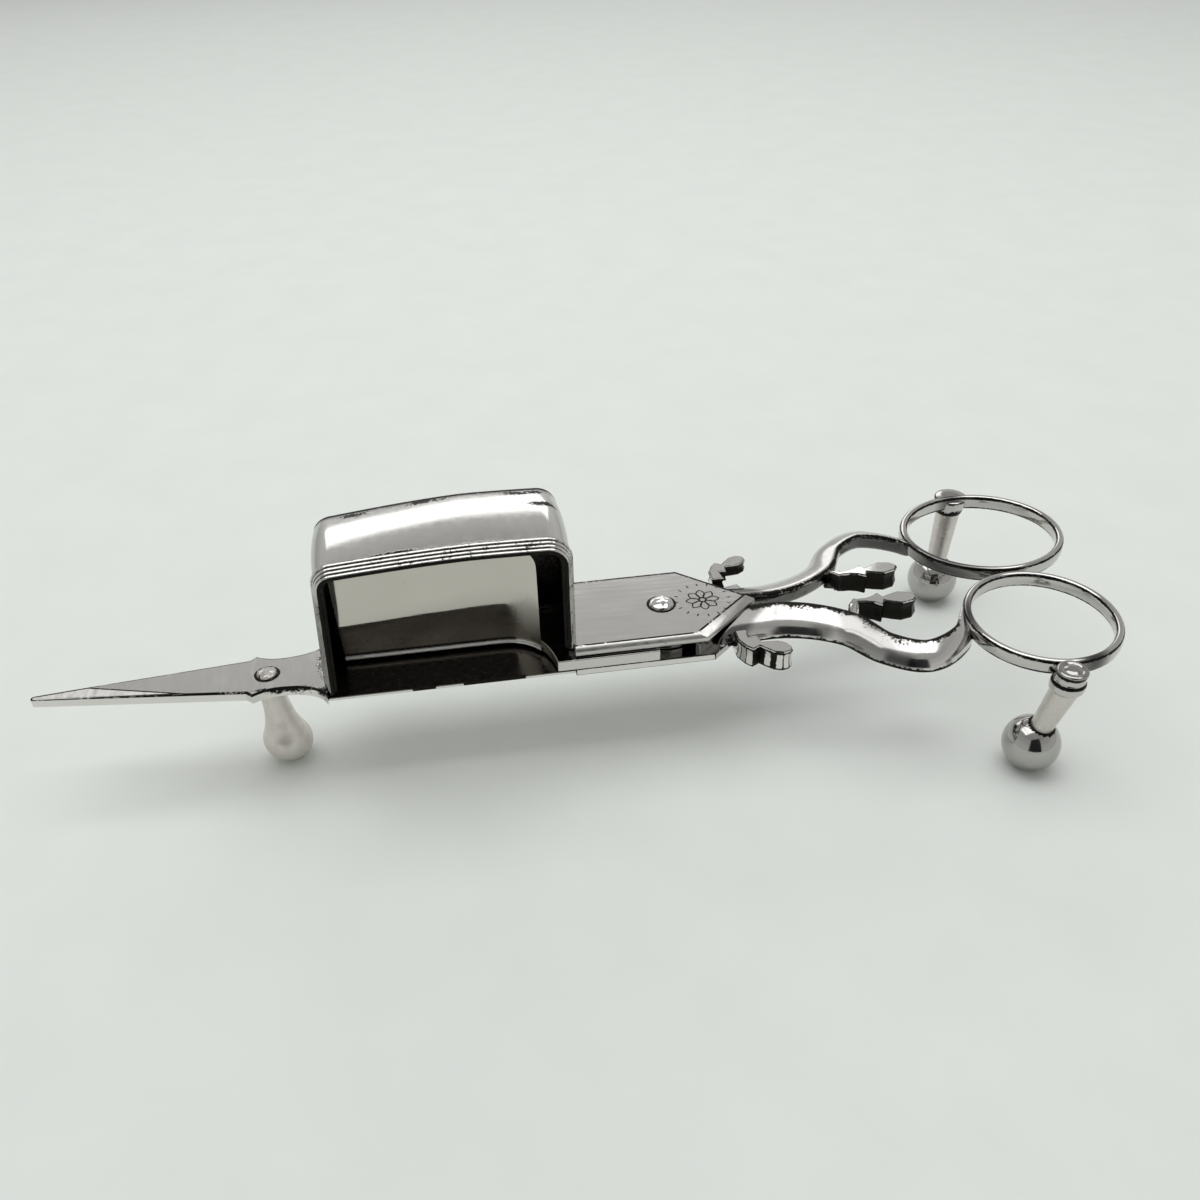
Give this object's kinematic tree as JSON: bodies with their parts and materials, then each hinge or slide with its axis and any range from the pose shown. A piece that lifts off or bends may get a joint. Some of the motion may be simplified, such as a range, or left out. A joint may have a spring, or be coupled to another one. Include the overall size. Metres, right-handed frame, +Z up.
{
  "type": "candle snuffer scissors",
  "caption": "Silver candle snuffer scissors with a wick box, a press plate on the other arm, a pointed tip, scroll handles, finger rings and ball feet.",
  "frame": {"origin": "middle of the overall box, on the table plane under the feet", "axes": "+X from the pointed tip to the finger rings, +Y from the box's open mouth to its back, +Z up"},
  "size_m": [0.1828, 0.0618, 0.0425],
  "materials": {
    "polished_silver": "mirror polished silver, lightly worn",
    "plain_silver": "polished flat silver with fine hairline wear",
    "satin_silver": "satin silver, slightly warm, with small pits"
  },
  "bodies": {
    "box_arm": {"tip_blade": "plain_silver", "tip_foot": "satin_silver", "tip_foot_rivet": "polished_silver", "box_floor": "polished_silver", "box_shell": "polished_silver", "box_back_panel": "polished_silver", "box_rim_moulding": "polished_silver", "upper_fork_plate": "plain_silver", "lower_fork_plate": "polished_silver", "fork_end_wall": "polished_silver", "pivot_rivet": "polished_silver", "pivot_burr": "polished_silver", "front_scroll_handle": "polished_silver", "front_curl": "polished_silver", "front_bud": "polished_silver", "front_finger_ring": "polished_silver", "front_foot_boss": "polished_silver", "front_foot_peg": "satin_silver", "front_ball_foot": "polished_silver"},
    "press_arm": {"press_tongue": "polished_silver", "press_plate": "plain_silver", "back_scroll_handle": "polished_silver", "back_curl": "polished_silver", "back_bud": "polished_silver", "back_finger_ring": "polished_silver", "back_foot_boss": "polished_silver", "back_foot_peg": "satin_silver", "back_ball_foot": "polished_silver"}
  },
  "joints": [
    {"name": "press_hinge", "type": "hinge", "parent": "box_arm", "child": "press_arm", "pos_m": [0.01241, 0.0005, 0.02], "axis": [0, 0, 1], "range_deg": [0, 30]}
  ]
}
